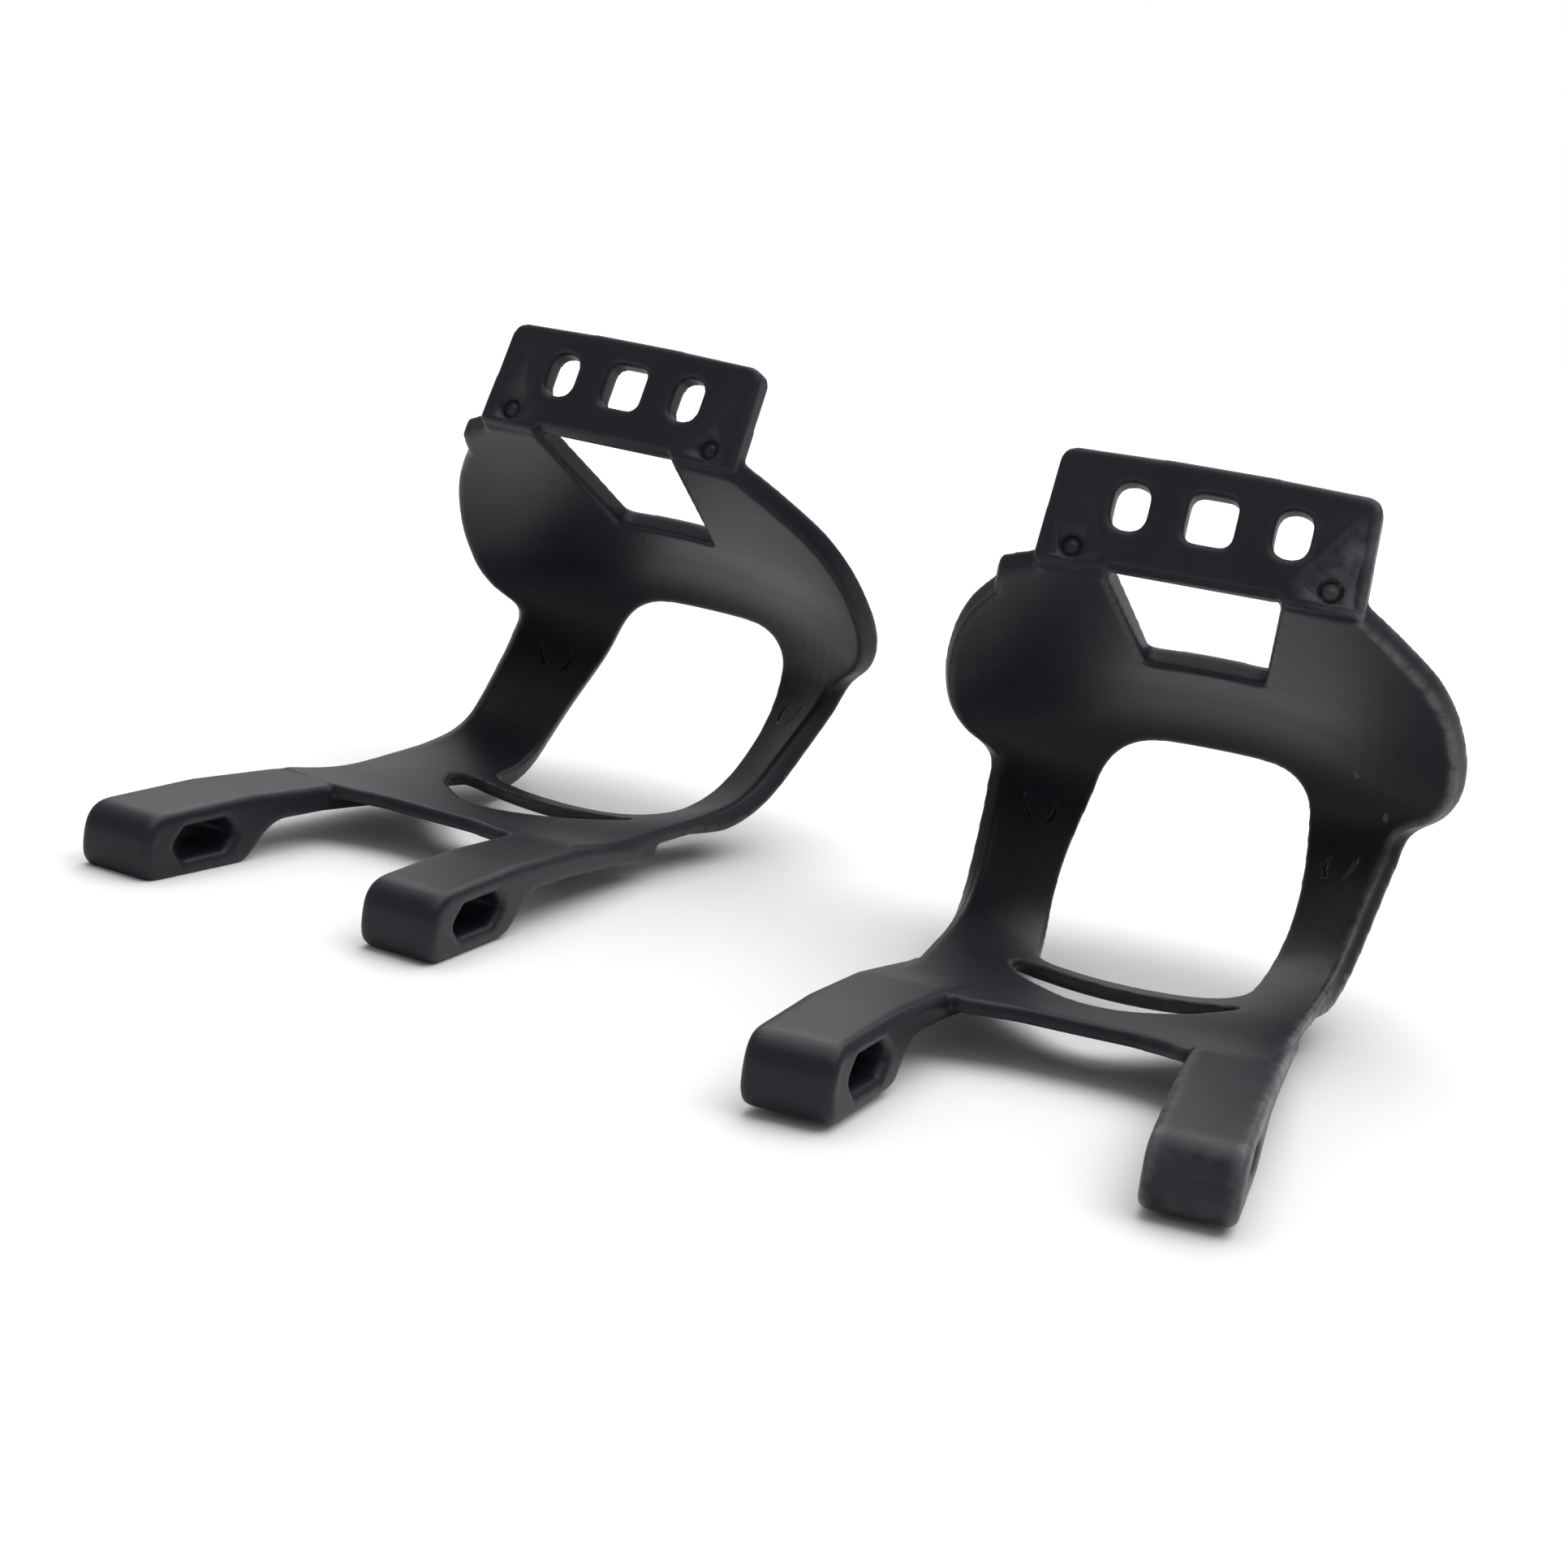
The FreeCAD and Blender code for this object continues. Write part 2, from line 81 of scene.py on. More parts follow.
# the wrap of the cage, in mm in the clip's own frame: each stop along it gives forward, up,
# tilt of the outward direction from upright, half width, and the radius it is bent to across
cage = {
    "thick": 3.8,
    "rim": 0.7,
    "stops": [
        (1.5, -0.2, 6.0, 25.4, 600.0),
        (9.5, -1.3, 7.0, 31.0, 300.0),
        (20.0, -2.8, 10.0, 37.9, 180.0),
        (32.0, -4.6, 18.0, 41.2, 115.0),
        (44.0, -6.3, 30.0, 41.2, 78.0),
        (54.0, -9.6, 47.0, 38.2, 57.0),
        (60.0, -16.5, 67.0, 33.2, 47.0),
        (60.3, -25.5, 84.0, 32.0, 44.0),
        (55.5, -38.0, 106.0, 31.0, 44.0),
        (48.5, -48.0, 128.0, 30.4, 48.0),
        (40.0, -53.8, 146.0, 30.0, 60.0),
        (30.0, -57.4, 156.0, 29.6, 85.0),
        (17.0, -61.2, 162.0, 29.2, 160.0),
        (0.0, -66.6, 163.0, 29.0, 900.0),
        (-18.0, -72.1, 163.0, 29.0, 900.0),
    ],
    "halfStep": 1.5,  # spacing of the points along the outer edges
    "tabEnd": 9,
    "tab": [(-32.2, 7.0), (-31.6, 4.6), (-25.4, 1.4), (-25.4, 0.0)],  # flat ledge beside the plate
    "windowBack": 13.8,
    "windowFront": 9.7,
    "windowReach": 33.2,
    "windowAside": -0.5,
    "windowCorner": 2.2,
    # the crossbar's edge: across, place past the edge, and radius of each corner
    "barEdge": -14.0,
    "bar": [(29, 1.0, 0), (16.5, 3.0, 2), (8.5, -0.5, 8)],
    # the opening in the nose: across, level, and radius of each corner
    "nose": [
        (16.8, -11.6, 9), (20.4, -36, 130), (17.0, -58.2, 9),
        (-15.0, -58.0, 4.5), (-20.0, -38, 130), (-16.8, -11.6, 10),
    ],
    "noseSteps": 10,
    # the slot in the roof: across, place past one of its ends, and radius of each corner
    "slotBack": 21.5,
    "slotFront": 0.0,
    "slot": [
        (19, "slotBack", 1, 0.6), (13, "slotBack", 10, 12), (0, "slotFront", 1, 26),
        (-14, "slotBack", 10, 9), (-17.5, "slotBack", 3, 3), (-16, "slotBack", -1, 2),
        (0, "slotBack", 1.5, 40),
    ],
    "slotSlant": 4.5,  # how far the slot's back wall leans away under the roof
    "slantHalf": 19,
    "slantNear": 2.5,
    "roofThinner": 0.42,  # share of its thickness that the roof loses between these two places
    "thinFrom": 34,
    "thinTo": 22,
    "roofBelow": -40,
    "acrossCuts": (-42, 42, 3),  # where the flat sheet is cut so that it can bend
    "alongCuts": (1, 1.5),
}
stops = cage["stops"]
reach = [0.0]
for before, after in zip(stops, stops[1:]):
    reach.append(reach[-1] + math.dist(before[:2], after[:2]))


def wrapAt(along):
    # forward, up, tilt, half width and bend at a place along the wrap, as a smooth curve
    along = min(max(along, 0.0), reach[-1])
    k = max(i for i in range(len(reach) - 1) if reach[i] <= along or i == 0)
    span = reach[k + 1] - reach[k]
    t = (along - reach[k]) / span

    def slope(i, j):
        low, high = max(i - 1, 0), min(i + 1, len(stops) - 1)
        return (value(high, j) - value(low, j)) / (reach[high] - reach[low])

    def value(i, j):  # the last one runs as one over the radius
        return 1 / stops[i][4] if j == 4 else stops[i][j]

    found = []
    for j in range(5):
        a, b = value(k, j), value(k + 1, j)
        m, n = slope(k, j) * span, slope(k + 1, j) * span
        found.append(
            (2 * t**3 - 3 * t**2 + 1) * a + (t**3 - 2 * t**2 + t) * m
            + (3 * t**2 - 2 * t**3) * b + (t**3 - t**2) * n
        )
    return found


profileSteps = 1200
samples = [i * reach[-1] / profileSteps for i in range(profileSteps + 1)]
profile = [(s, *wrapAt(s)) for s in samples]


def alongAtLevel(level):
    # first place on the wrap that is as low as this
    return next(p[0] for p in profile if p[2] <= level)


def alongAtForward(forward, lower=True):
    # the place on the roof, or on the brow, that is this far forward
    picked = [p for p in profile if (p[2] < cage["roofBelow"]) == lower]
    return min(picked, key=lambda p: abs(p[1] - forward))[0]


thinFrom, thinTo = alongAtForward(cage["thinFrom"]), alongAtForward(cage["thinTo"])
mostOfSide = 0.49  # a rounded corner takes up at most this share of a side


def rounded(corners, steps=7):
    # corners with a radius each, as a closed line of points
    line = []
    count = len(corners)
    for i, (x, y, radius) in enumerate(corners):
        here = Vector((x, y))
        back = Vector(corners[i - 1][:2]) - here
        on = Vector(corners[(i + 1) % count][:2]) - here
        if radius <= 0:
            line.append(tuple(here))
            continue
        half = back.angle(on) / 2
        cut = min(radius / math.tan(half), back.length * mostOfSide, on.length * mostOfSide)
        start, end = here + back.normalized() * cut, here + on.normalized() * cut
        for k in range(steps + 1):
            t = k / steps
            line.append(tuple(start.lerp(here, t).lerp(here.lerp(end, t), t)))
    return line


def mirrored(half, aside=0):
    # corners of one side, then the same corners on the other side
    return [(x + aside, s, r) for x, s, r in half] + [(-x + aside, s, r) for x, s, r in reversed(half)]


mergeNear = 0.002


def slab(name, outlines, thick, rim, bevelSteps=3):
    # a flat plate with holes and rounded edges, its thickness centred on its own plane
    curve = bpy.data.curves.new(name, "CURVE")
    curve.dimensions = "2D"
    curve.fill_mode = "BOTH"
    for line in outlines:
        spline = curve.splines.new("POLY")
        spline.points.add(len(line) - 1)
        for point, (x, y) in zip(spline.points, line):
            point.co = (x, y, 0, 1)
        spline.use_cyclic_u = True
    curve.extrude = thick / 2 - rim
    curve.bevel_depth = rim
    curve.bevel_resolution = bevelSteps
    curve.offset = -rim
    holder = bpy.data.objects.new(name, curve)
    scene.collection.objects.link(holder)
    bpy.context.view_layer.update()
    mesh = bpy.data.meshes.new_from_object(holder)
    bpy.data.objects.remove(holder)
    work = bmesh.new()
    work.from_mesh(mesh)
    bmesh.ops.remove_doubles(work, verts=work.verts, dist=mergeNear)
    return work


def sliceUp(work, axis, low, high, step):
    # cuts across the plate so that it can bend
    place = low
    while place <= high:
        point, normal = Vector((0, 0, 0)), Vector((0, 0, 0))
        point[axis] = place
        normal[axis] = 1
        bmesh.ops.bisect_plane(
            work, geom=work.verts[:] + work.edges[:] + work.faces[:], dist=0.0001,
            plane_co=point, plane_no=normal,
        )
        place += step


widestSwing = 0.99


def bent(across, along, depth):
    # a place of the flat sheet, after the sheet is bent round the toe; depth runs outwards
    forward, up, tilt, half, bend = wrapAt(along)
    if along < 0:
        forward += along
    radius = 1 / bend
    t = min(max((along - thinFrom) / (thinTo - thinFrom), 0), 1)
    above = (depth + cage["thick"] / 2) * (1 - cage["roofThinner"] * t * t * (3 - 2 * t))
    swing = math.asin(max(-widestSwing, min(widestSwing, across / radius)))
    out = (radius + above) * math.cos(swing) - radius
    angle = math.radians(tilt)
    return Vector((
        (radius + above) * math.sin(swing),
        forward + out * math.sin(angle),
        up + out * math.cos(angle),
    ))


def buildShell():
    step = cage["halfStep"]
    edge = alongAtForward(cage["barEdge"])
    barPast = cage["bar"][0][1]
    right = [(wrapAt(s)[3], s) for s in [i * step for i in range(int(reach[-1] / step))]]
    right = [(half, s) for half, s in right if s < edge + barPast]
    left = [(-x, s) for x, s in reversed(right) if s > cage["tabEnd"]] + cage["tab"]
    front = alongAtForward(cage["windowReach"], lower=False)
    window = [(cage["windowBack"], 0.0, 0), (cage["windowFront"], front, cage["windowCorner"])]
    bay = rounded(mirrored(window, cage["windowAside"]))
    bar = rounded(mirrored([(x, edge + past, r) for x, past, r in cage["bar"]]))
    bayRight = [(x, s) for x, s in bay if x >= 0][::-1]
    bayLeft = [(x, s) for x, s in bay if x < 0][::-1]
    ring = bayRight + right + bar + left + bayLeft
    nose = rounded([(x, alongAtLevel(level), r) for x, level, r in cage["nose"]], cage["noseSteps"])
    slot = rounded([(x, alongAtForward(cage[end]) + past, r) for x, end, past, r in cage["slot"]])
    work = slab("shell", [ring, nose, slot], cage["thick"], cage["rim"])
    past, step = cage["alongCuts"]
    sliceUp(work, 1, -past, reach[-1] + past, step)
    sliceUp(work, 0, *cage["acrossCuts"])
    slotBack = alongAtForward(cage["slotBack"])
    for vert in work.verts:
        across, along, depth = vert.co
        if abs(across) < cage["slantHalf"] and abs(along - slotBack) < cage["slantNear"]:
            along -= cage["slotSlant"] * (depth / cage["thick"] + 0.5)
        vert.co = bent(across, along, depth)
    return work


plate = {
    "wide": 50.0,
    "tall": 18.8,
    "thick": 4.2,
    "rim": 0.35,
    "rimSteps": 2,
    "flare": 0.7,
    "footCorner": 0.3,
    "corner": 2.6,
    "crown": 0.5,
    "crownHalf": 8,
    "crownBend": 40,
    "notchRise": 1.3,
    "notchCorner": 0.5,
    "slotApart": 25.4,
    "slotLevel": 11.0,
    "slotWide": 5.9,
    "slotTall": 8.1,
    "slotRound": 0.98,
    "square": (7.9, 8.3),
    "squareCorner": 2.2,
    "roundelApart": 40.4,
    "roundelLevel": 3.1,
}


# the narrow step along the top edge of the window
ledge = {"inset": 0.3, "short": 1, "deep": (1.3, 3.4), "level": (0.85, 1.9)}


def buildLedge():
    half = cage["windowBack"] - ledge["inset"]
    low = Vector((-half, ledge["deep"][0], ledge["level"][0]))
    high = Vector((half - ledge["short"], ledge["deep"][1], ledge["level"][1]))
    work = bmesh.new()
    place = Matrix.Translation((high + low) / 2) @ Matrix.Diagonal((*(high - low), 1))
    bmesh.ops.create_cube(work, size=1, matrix=place)
    return work


def plateHole(x, wide, tall, corner):
    ring = ((-1, -1), (1, -1), (1, 1), (-1, 1))
    return rounded([(x + a * wide, plate["slotLevel"] + b * tall, corner) for a, b in ring])


def buildPlate():
    half, tall = plate["wide"] / 2, plate["tall"]
    bay, aside = cage["windowBack"], cage["windowAside"]
    foot = (half + plate["flare"], 0, plate["footCorner"])
    top = (half, tall, plate["corner"])
    crown = (plate["crownHalf"], tall + plate["crown"], plate["crownBend"])
    outline = rounded([(-x, z, r) for x, z, r in (foot, top, crown)] + [
        crown, top, foot, (bay + aside, 0, 0),
        (bay + aside, plate["notchRise"], plate["notchCorner"]),
        (-bay + aside, plate["notchRise"], plate["notchCorner"]), (-bay + aside, 0, 0),
    ])
    wide, high = plate["slotWide"] / 2, plate["slotTall"] / 2
    holes = [
        plateHole(sign * plate["slotApart"] / 2, wide, high, wide * plate["slotRound"])
        for sign in (-1, 1)
    ]
    holes.append(plateHole(0, plate["square"][0] / 2, plate["square"][1] / 2, plate["squareCorner"]))
    work = slab("plate", [outline] + holes, plate["thick"], plate["rim"], plate["rimSteps"])
    upright = Matrix.Rotation(math.radians(90), 3, "X")
    bmesh.ops.rotate(work, verts=work.verts, cent=(0, 0, 0), matrix=upright)
    bmesh.ops.translate(work, verts=work.verts, vec=(0, plate["thick"] / 2, 0))
    return work


arm = {
    "loopMiddle": (-43.0, -88.6),
    "loopSlope": 25.0,
    # the side view, by corners: along, above, radius; first on the roof's line, then from the
    # middle of the loop, then back under the roof
    "overRoof": [(13, -0.3, 1), (-4, 0.0, 14), (-16, 0.0, 24)],
    "roundLoop": [(-11, 5.5, 18), (14.2, 5.5, 7), (14.2, -5.5, 4.5), (-10.5, -5.5, 5), (-16.5, 0.3, 9)],
    "underRoof": [(-16, -4.6, 20), (-4, -3.8, 14), (13, -2.9, 1)],
    "strap": (15.5, 5.4),
    "strapCorner": 1.1,
    "strapSteps": 4,
    "blank": 13.0,  # width before the arm is spread
    "spreadFrom": 8,
    "spreadOver": 62,
    "cuts": (-60, 10, 2),
    "root": (15.6, 29.4),  # inner and outer side where the arm leaves the cage
    "end": (20.4, 33.6),  # the same at the end of the loop
    "rim": 1.2,
}


def loopPoint(along, above):
    angle = math.radians(arm["loopSlope"])
    y, z = arm["loopMiddle"]
    return (
        y - along * math.cos(angle) - above * math.sin(angle),
        z - along * math.sin(angle) + above * math.cos(angle),
    )


def roofPoint(forward, above):
    found = wrapAt(alongAtForward(forward))
    return (forward, found[1] + above)


def buildArm(side, change):
    corners = [(*roofPoint(a, b), r) for a, b, r in arm["overRoof"]]
    corners += [(*loopPoint(a, b), r) for a, b, r in arm["roundLoop"]]
    corners += [(*roofPoint(a, b), r) for a, b, r in arm["underRoof"]]
    near, tall = arm["strap"][0] / 2, arm["strap"][1] / 2
    far = near - tall
    ring = ((-far, tall), (far, tall), (near, 0), (far, -tall), (-far, -tall), (-near, 0))
    hole = rounded([(*loopPoint(a, b), arm["strapCorner"]) for a, b in ring], arm["strapSteps"])
    work = slab("arm", [rounded(corners), hole], arm["blank"], arm["rim"])
    sliceUp(work, 0, *arm["cuts"])
    for vert in work.verts:
        y, z, x = vert.co
        t = min(max((arm["spreadFrom"] - y) / arm["spreadOver"], 0), 1)
        inner, outer = [a + (b - a) * t for a, b in zip(arm["root"], arm["end"])]
        inner += change["out"] * t
        outer += change["root"] * (1 - t) + change["out"] * t
        share = x / arm["blank"] + 0.5
        y -= change["long"] * t
        z += change["up"] * t
        vert.co = (side * (inner + (outer - inner) * share), y, z)
    if side < 0:
        bmesh.ops.reverse_faces(work, faces=work.faces)
    return work


def joined(parts, name):
    # one mesh out of several, which are freed
    whole = bmesh.new()
    for part in parts:
        mesh = bpy.data.meshes.new("part")
        part.to_mesh(mesh)
        part.free()
        whole.from_mesh(mesh)
        bpy.data.meshes.remove(mesh)
    mesh = bpy.data.meshes.new(name)
    whole.to_mesh(mesh)
    whole.free()
    return mesh


# the fused surface: cube size and growth in mm, share of the triangles that are kept
skin = {"voxel": 0.47, "smooths": 2, "smoothBy": 0.5, "grow": 0.13, "keep": 0.62}

# how each clip's arms differ from the plain ones, in mm: wider at the root, further out,
# longer and higher at the end
armChanges = {
    ("clip_left", -1): {"root": 0.5, "out": -0.6, "long": 0.0, "up": -0.6},
    ("clip_left", 1): {"root": 0.0, "out": 0.6, "long": 0.0, "up": 0.0},
    ("clip_right", -1): {"root": 2.2, "out": 2.2, "long": -1.0, "up": 1.6},
    ("clip_right", 1): {"root": 0.0, "out": 0.0, "long": 2.4, "up": 0.0},
}


def lathe(line, middle, axis):
    # turns a closed line of (radius, height) places about an axis
    work = bmesh.new()
    spots = [work.verts.new((r, 0, h)) for r, h in line]
    rims = [work.edges.new((a, b)) for a, b in zip(spots, spots[1:] + spots[:1])]
    bmesh.ops.spin(
        work, geom=spots + rims, cent=(0, 0, 0), axis=(0, 0, 1),
        angle=math.tau, steps=marks["steps"], use_merge=True,
    )
    bmesh.ops.remove_doubles(work, verts=work.verts, dist=marks["mergeNear"])
    bmesh.ops.dissolve_degenerate(work, edges=work.edges, dist=marks["mergeNear"] / 2)
    bmesh.ops.recalc_face_normals(work, faces=work.faces)
    turn = Vector((0, 0, 1)).rotation_difference(Vector(axis)).to_matrix().to_4x4()
    bmesh.ops.transform(work, matrix=Matrix.Translation(middle) @ turn, verts=work.verts)
    return work


# small round marks, as (radius, height) lines that are cut into the surface
marks = {
    "steps": 40,
    "mergeNear": 0.001,
    "roundel": [(0, 1), (2.1, 1), (2.1, -0.5), (1.35, -0.5), (1.35, -0.28), (0, -0.28)],
    "ejector": [(2.7, 1), (3.05, 1), (3.05, -0.4), (2.7, -0.4)],
    "ejectorLevel": -27.0,
    "ejectorAside": 25.5,
}


def markCutters():
    cutters = []
    for sign in (-1, 1):
        place = (sign * plate["roundelApart"] / 2, 0, plate["roundelLevel"])
        cutters.append(lathe(marks["roundel"], place, (0, -1, 0)))
        along, aside = alongAtLevel(marks["ejectorLevel"]), sign * marks["ejectorAside"]
        skinPlace = bent(aside, along, -cage["thick"] / 2 - skin["grow"])
        axis = skinPlace - bent(aside, along, 0)
        cutters.append(lathe(marks["ejector"], skinPlace, axis))
    return cutters


def evaluatedMesh(holder):
    bpy.context.view_layer.update()
    return bpy.data.meshes.new_from_object(holder.evaluated_get(bpy.context.evaluated_depsgraph_get()))


def carved(mesh, cutters):
    # takes the cutters off the mesh
    holder = bpy.data.objects.new("clip", mesh)
    tool = bpy.data.objects.new("cutters", joined(cutters, "cutters"))
    for thing in (holder, tool):
        scene.collection.objects.link(thing)
    cut = holder.modifiers.new("cut", "BOOLEAN")
    cut.operation = "DIFFERENCE"
    cut.solver = "MANIFOLD"
    cut.object = tool
    fewer = holder.modifiers.new("fewer", "DECIMATE")
    fewer.ratio = skin["keep"]
    result = evaluatedMesh(holder)
    for thing in (holder, tool):
        bpy.data.objects.remove(thing)
    return result


def buildClipMesh(node):
    arms = [buildArm(side, armChanges[node, side]) for side in (-1, 1)]
    mesh = joined([buildShell(), buildPlate(), buildLedge()] + arms, "clip")
    holder = bpy.data.objects.new("clip", mesh)
    scene.collection.objects.link(holder)
    fuse = holder.modifiers.new("fuse", "REMESH")
    fuse.mode = "VOXEL"
    fuse.voxel_size = skin["voxel"]
    fused = evaluatedMesh(holder)
    bpy.data.objects.remove(holder)
    work = bmesh.new()
    work.from_mesh(fused)
    for _ in range(skin["smooths"]):
        bmesh.ops.smooth_vert(
            work, verts=work.verts, factor=skin["smoothBy"],
            use_axis_x=True, use_axis_y=True, use_axis_z=True,
        )
    work.normal_update()
    moves = [vert.normal * skin["grow"] for vert in work.verts]
    for vert, move in zip(work.verts, moves):
        vert.co += move
    work.to_mesh(fused)
    work.free()
    return carved(fused, markCutters())


class Wire:
    # one output socket that takes part in sums
    def __init__(self, tree, socket):
        self.tree, self.socket = tree, socket

    def maths(self, operation, a, b):
        return self.tree.node("ShaderNodeMath", {"operation": operation}, {0: a, 1: b})

    def __add__(self, other):
        return self.maths("ADD", self, other)

    def __radd__(self, other):
        return self.maths("ADD", other, self)

    def __sub__(self, other):
        return self.maths("SUBTRACT", self, other)

    def __rsub__(self, other):
        return self.maths("SUBTRACT", other, self)

    def __mul__(self, other):
        return self.maths("MULTIPLY", self, other)

    def __rmul__(self, other):
        return self.maths("MULTIPLY", other, self)


class Finish:
    # a material and the one way its nodes are made
    def __init__(self, name):
        self.material = bpy.data.materials.new(name)
        self.material.use_nodes = True
        self.nodes = self.material.node_tree.nodes
        self.links = self.material.node_tree.links
        self.nodes.clear()

    def node(self, kind, settings=None, sockets=None, out=0):
        made = self.nodes.new(kind)
        for key, value in (settings or {}).items():
            setattr(made, key, value)
        for key, value in (sockets or {}).items():
            if isinstance(value, Wire):
                self.links.new(value.socket, made.inputs[key])
            else:
                made.inputs[key].default_value = value
        return Wire(self, made.outputs[out]) if made.outputs else None


nylon = {
    "dark": (0.0056, 0.0050, 0.0092, 1),
    "pale": (0.0110, 0.0104, 0.0165, 1),
    # pale tint for scuffs, for edge wear and for the painted highlight along the rims
    "wornAndHighlight": (0.12, 0.12, 0.13, 1),
    "rough": 0.40,
    "clouds": {"Scale": 55.0, "Detail": 4.0, "Roughness": 0.6},
    "grain": {"Scale": 2600.0, "Detail": 3.0, "Roughness": 0.55},
    "flow": {"Scale": 340.0, "Detail": 3.0},
    "scuffLie": {"Rotation": (0.4, 0.2, 0.5), "Scale": (1.0, 12.0, 9.0)},
    "scuffs": {"Scale": 420.0, "Detail": 2.0},
    "scuffEnds": (0.66, 0.78),
    "patchEnds": (0.5, 0.68),
    "edgeEnds": (0.50, 0.535),
    "rubbedAndHighlightEnds": (0.070, 0.088),  # metres across the pair: the right side is rubbed most and gets the most painted highlight on its edges
    "rubbedAndHighlight": (2.2, 0.12),
    "wearAndHighlight": (1.6, -0.35),
    "wornAndHighlightShare": 0.6,
    "scuffShare": 0.12,
    "roughChange": {"clouds": 0.10, "wearAndHighlight": 0.10, "scuffs": 0.12},
    "height": {"grain": 0.5, "flow": 0.35, "clouds": 0.4},
    "bump": {"Strength": 0.22, "Distance": 0.00022},
    "gloss": {"IOR": 1.5, "Specular IOR Level": 0.27},
}


def makeNylon():
    f = Finish("black_nylon")
    place = f.node("ShaderNodeTexCoord", out="Object")

    def noise(name, vector):
        return f.node("ShaderNodeTexNoise", {}, {"Vector": vector, **nylon[name]})

    def ramp(value, ends):
        low, high = nylon[ends]
        return f.node("ShaderNodeMapRange", {}, {"Value": value, "From Min": low, "From Max": high})

    def blend(share, a, b):
        return f.node("ShaderNodeMix", {"data_type": "RGBA"}, {0: share, 6: a, 7: b}, out=2)

    clouds, grain, flow = [noise(name, place) for name in ("clouds", "grain", "flow")]
    stretched = f.node("ShaderNodeMapping", {}, {"Vector": place, **nylon["scuffLie"]})
    scuffs = ramp(noise("scuffs", stretched), "scuffEnds") * ramp(clouds, "patchEnds")
    edges = ramp(f.node("ShaderNodeNewGeometry", out="Pointiness"), "edgeEnds")
    across = f.node("ShaderNodeSeparateXYZ", {}, {"Vector": place})
    rubAndHighlightGain, rubAndHighlightBase = nylon["rubbedAndHighlight"]
    wearAndHighlightGain, wearAndHighlightBase = nylon["wearAndHighlight"]
    # painted highlight: the pale tint along the edges, strongest on the right clip's right side, stands
    # partly for real edge wear and partly for light glinting on the rims
    wearAndHighlight = edges * (flow * wearAndHighlightGain + wearAndHighlightBase) * (ramp(across, "rubbedAndHighlightEnds") * rubAndHighlightGain + rubAndHighlightBase)
    wearAndHighlight = f.node("ShaderNodeClamp", {}, {"Value": wearAndHighlight})
    base = blend(clouds, nylon["dark"], nylon["pale"])
    marked = blend(wearAndHighlight * nylon["wornAndHighlightShare"] + scuffs * nylon["scuffShare"], base, nylon["wornAndHighlight"])
    change = nylon["roughChange"]
    rough = nylon["rough"] + clouds * change["clouds"] - wearAndHighlight * change["wearAndHighlight"]
    rough = rough + scuffs * change["scuffs"]
    tall = nylon["height"]
    height = grain * tall["grain"] + flow * tall["flow"] + clouds * tall["clouds"]
    bump = f.node("ShaderNodeBump", {}, {"Height": height, **nylon["bump"]})
    shader = f.node("ShaderNodeBsdfPrincipled", {}, {
        "Base Color": marked, "Roughness": rough, "Normal": bump, **nylon["gloss"],
    })
    f.node("ShaderNodeOutputMaterial", {}, {"Surface": shader})
    return f.material


black = makeNylon()
print("material made")


def finishPiece(work, name, body):
    mesh = bpy.data.meshes.new(name)
    work.to_mesh(mesh)
    for polygon in mesh.polygons:
        polygon.use_smooth = True
    mesh.materials.append(black)
    piece = bpy.data.objects.new(name, mesh)
    scene.collection.objects.link(piece)
    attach(piece, body)
    return piece


for node, side in (("clip_left", -1), ("clip_right", 1)):
    work = bmesh.new()
    work.from_mesh(buildClipMesh(node))
    bmesh.ops.transform(work, matrix=standing(side), verts=work.verts)
    piece = finishPiece(work, node + "_moulding", node)
    work.free()
    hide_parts(node)
    print(piece.name, sum(len(p.vertices) - 2 for p in piece.data.polygons), "triangles")


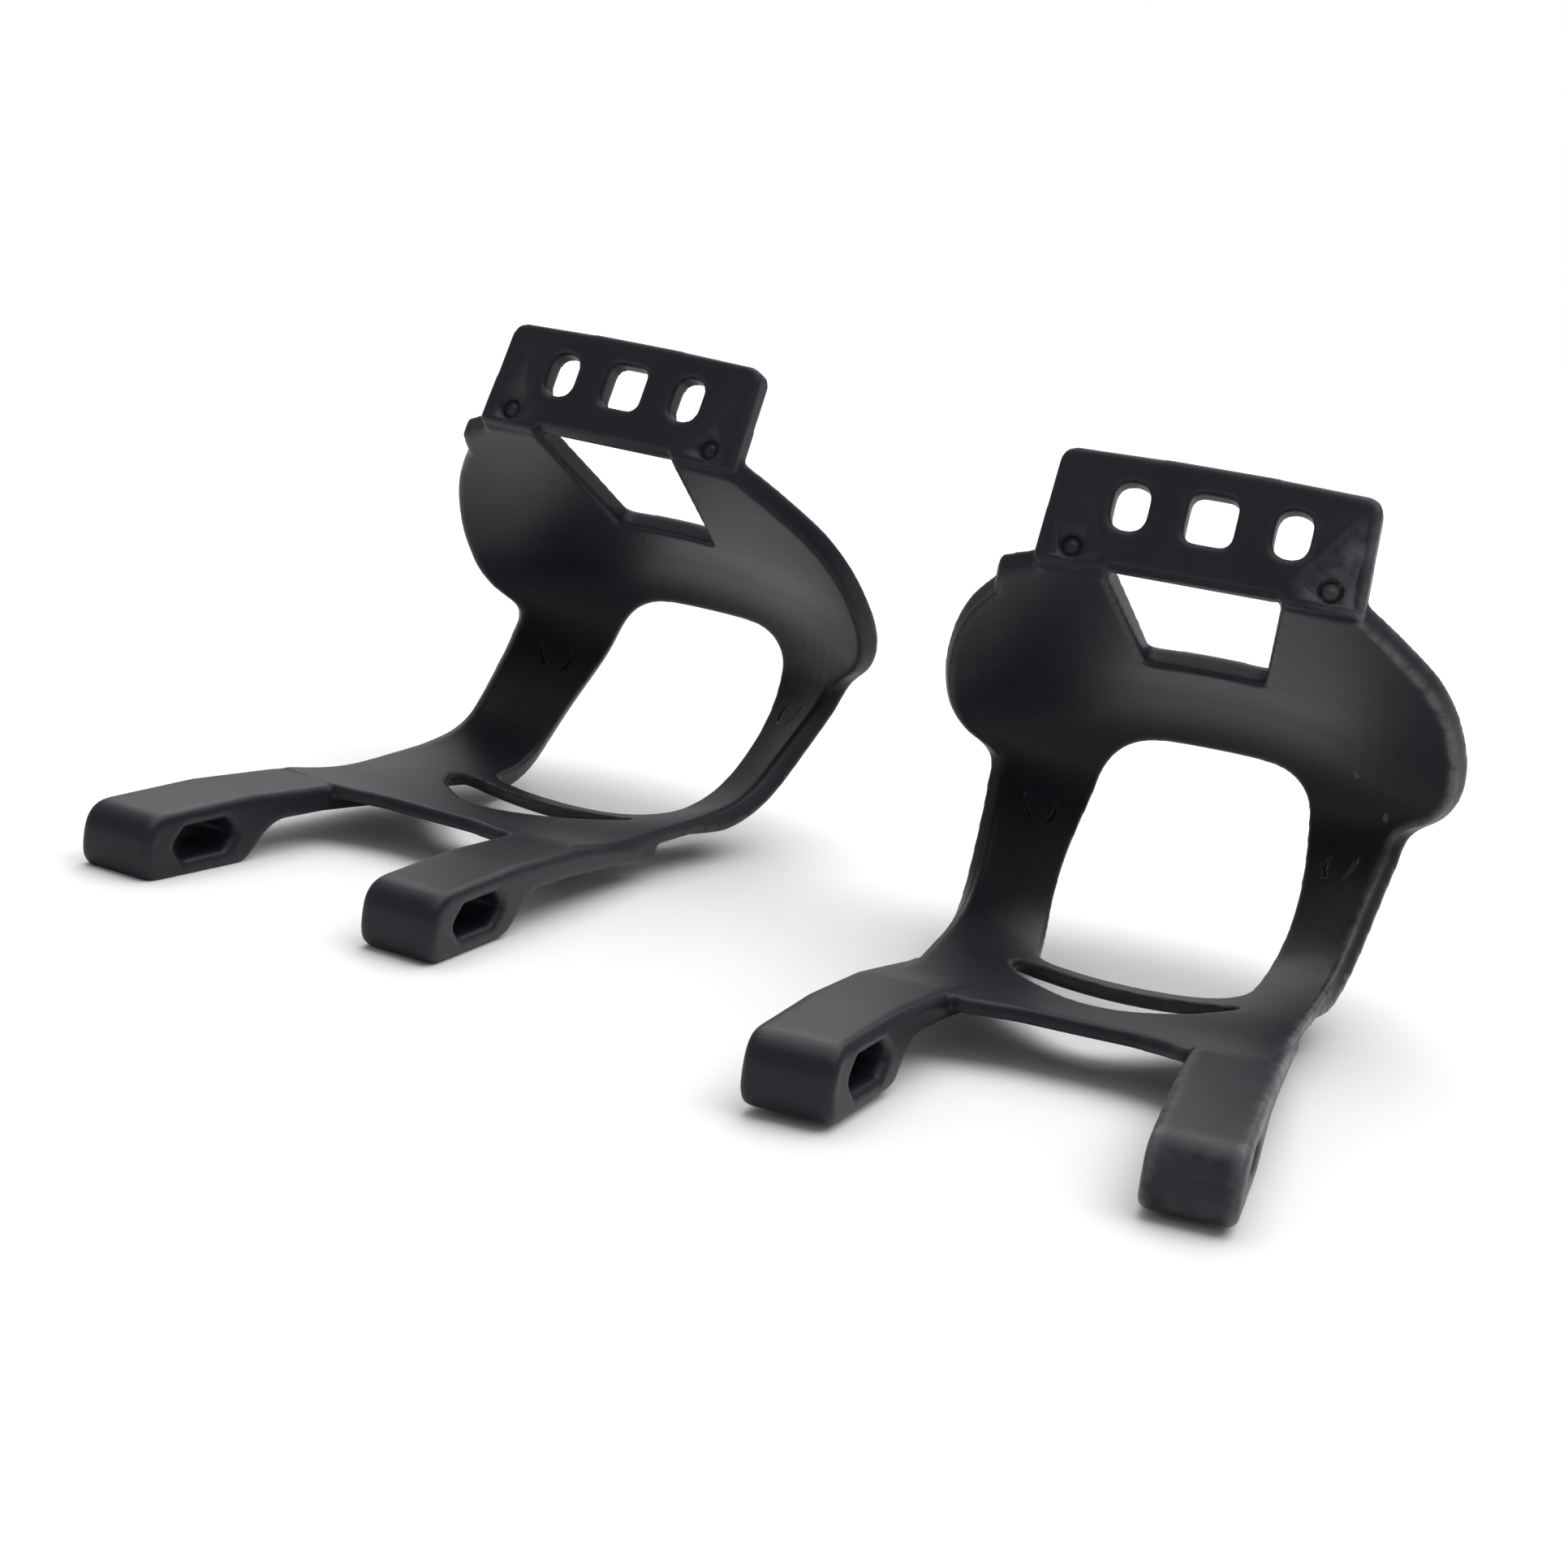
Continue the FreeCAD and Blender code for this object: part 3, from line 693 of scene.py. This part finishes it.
studio = {
    "floor": {"Base Color": (0.93, 0.93, 0.935, 1), "Roughness": 0.9, "Specular IOR Level": 0.1},
    "floorHalf": 40,
    "white": (1, 1, 1, 1),
    "room": 0.40,  # strength of the room's light, and of the room as it is seen
    "seenRoom": 1.0,
    "sky": 2.3,
    "skyWide": 75,
    "skyTilt": (-14, 10, 0),
    "windowPlace": (-0.3, 1.0, 0.75),
    "windowAim": (0, 0, 0.04),
    "windowSize": (1.2, 0.6),
    "windowPower": 5,
}
work = bmesh.new()
bmesh.ops.create_grid(work, x_segments=1, y_segments=1, size=studio["floorHalf"])
floorMesh = bpy.data.meshes.new("floor")
work.to_mesh(floorMesh)
work.free()
floor = bpy.data.objects.new("floor", floorMesh)
scene.collection.objects.link(floor)
paper = Finish("paper")
paperShade = paper.node("ShaderNodeBsdfPrincipled", {}, studio["floor"])
paper.node("ShaderNodeOutputMaterial", {}, {"Surface": paperShade})
floorMesh.materials.append(paper.material)

world = bpy.data.worlds.new("room")
scene.world = world
world.use_nodes = True
worldNodes, worldLinks = world.node_tree.nodes, world.node_tree.links
lit = worldNodes["Background"]
lit.inputs["Color"].default_value = studio["white"]
lit.inputs["Strength"].default_value = studio["room"]
seen = worldNodes.new("ShaderNodeBackground")
seen.inputs["Color"].default_value = studio["white"]
seen.inputs["Strength"].default_value = studio["seenRoom"]
ray = worldNodes.new("ShaderNodeLightPath")
mixed = worldNodes.new("ShaderNodeMixShader")
worldLinks.new(ray.outputs["Is Camera Ray"], mixed.inputs[0])
worldLinks.new(lit.outputs[0], mixed.inputs[1])
worldLinks.new(seen.outputs[0], mixed.inputs[2])
worldLinks.new(mixed.outputs[0], worldNodes["World Output"].inputs["Surface"])


scene.view_settings.view_transform = "Standard"


def addLight(name, kind, energy):
    light = bpy.data.lights.new(name, kind)
    light.energy = energy
    holder = bpy.data.objects.new(name, light)
    scene.collection.objects.link(holder)
    return light, holder


light, holder = addLight("window", "AREA", studio["windowPower"])
light.shape = "RECTANGLE"
light.size, light.size_y = studio["windowSize"]
holder.location = studio["windowPlace"]
look = Vector(studio["windowAim"]) - Vector(studio["windowPlace"])
holder.rotation_euler = look.to_track_quat("-Z", "Y").to_euler()
light, holder = addLight("sky", "SUN", studio["sky"])
light.angle = math.radians(studio["skyWide"])
holder.rotation_euler = [math.radians(angle) for angle in studio["skyTilt"]]
print("floor and light made")
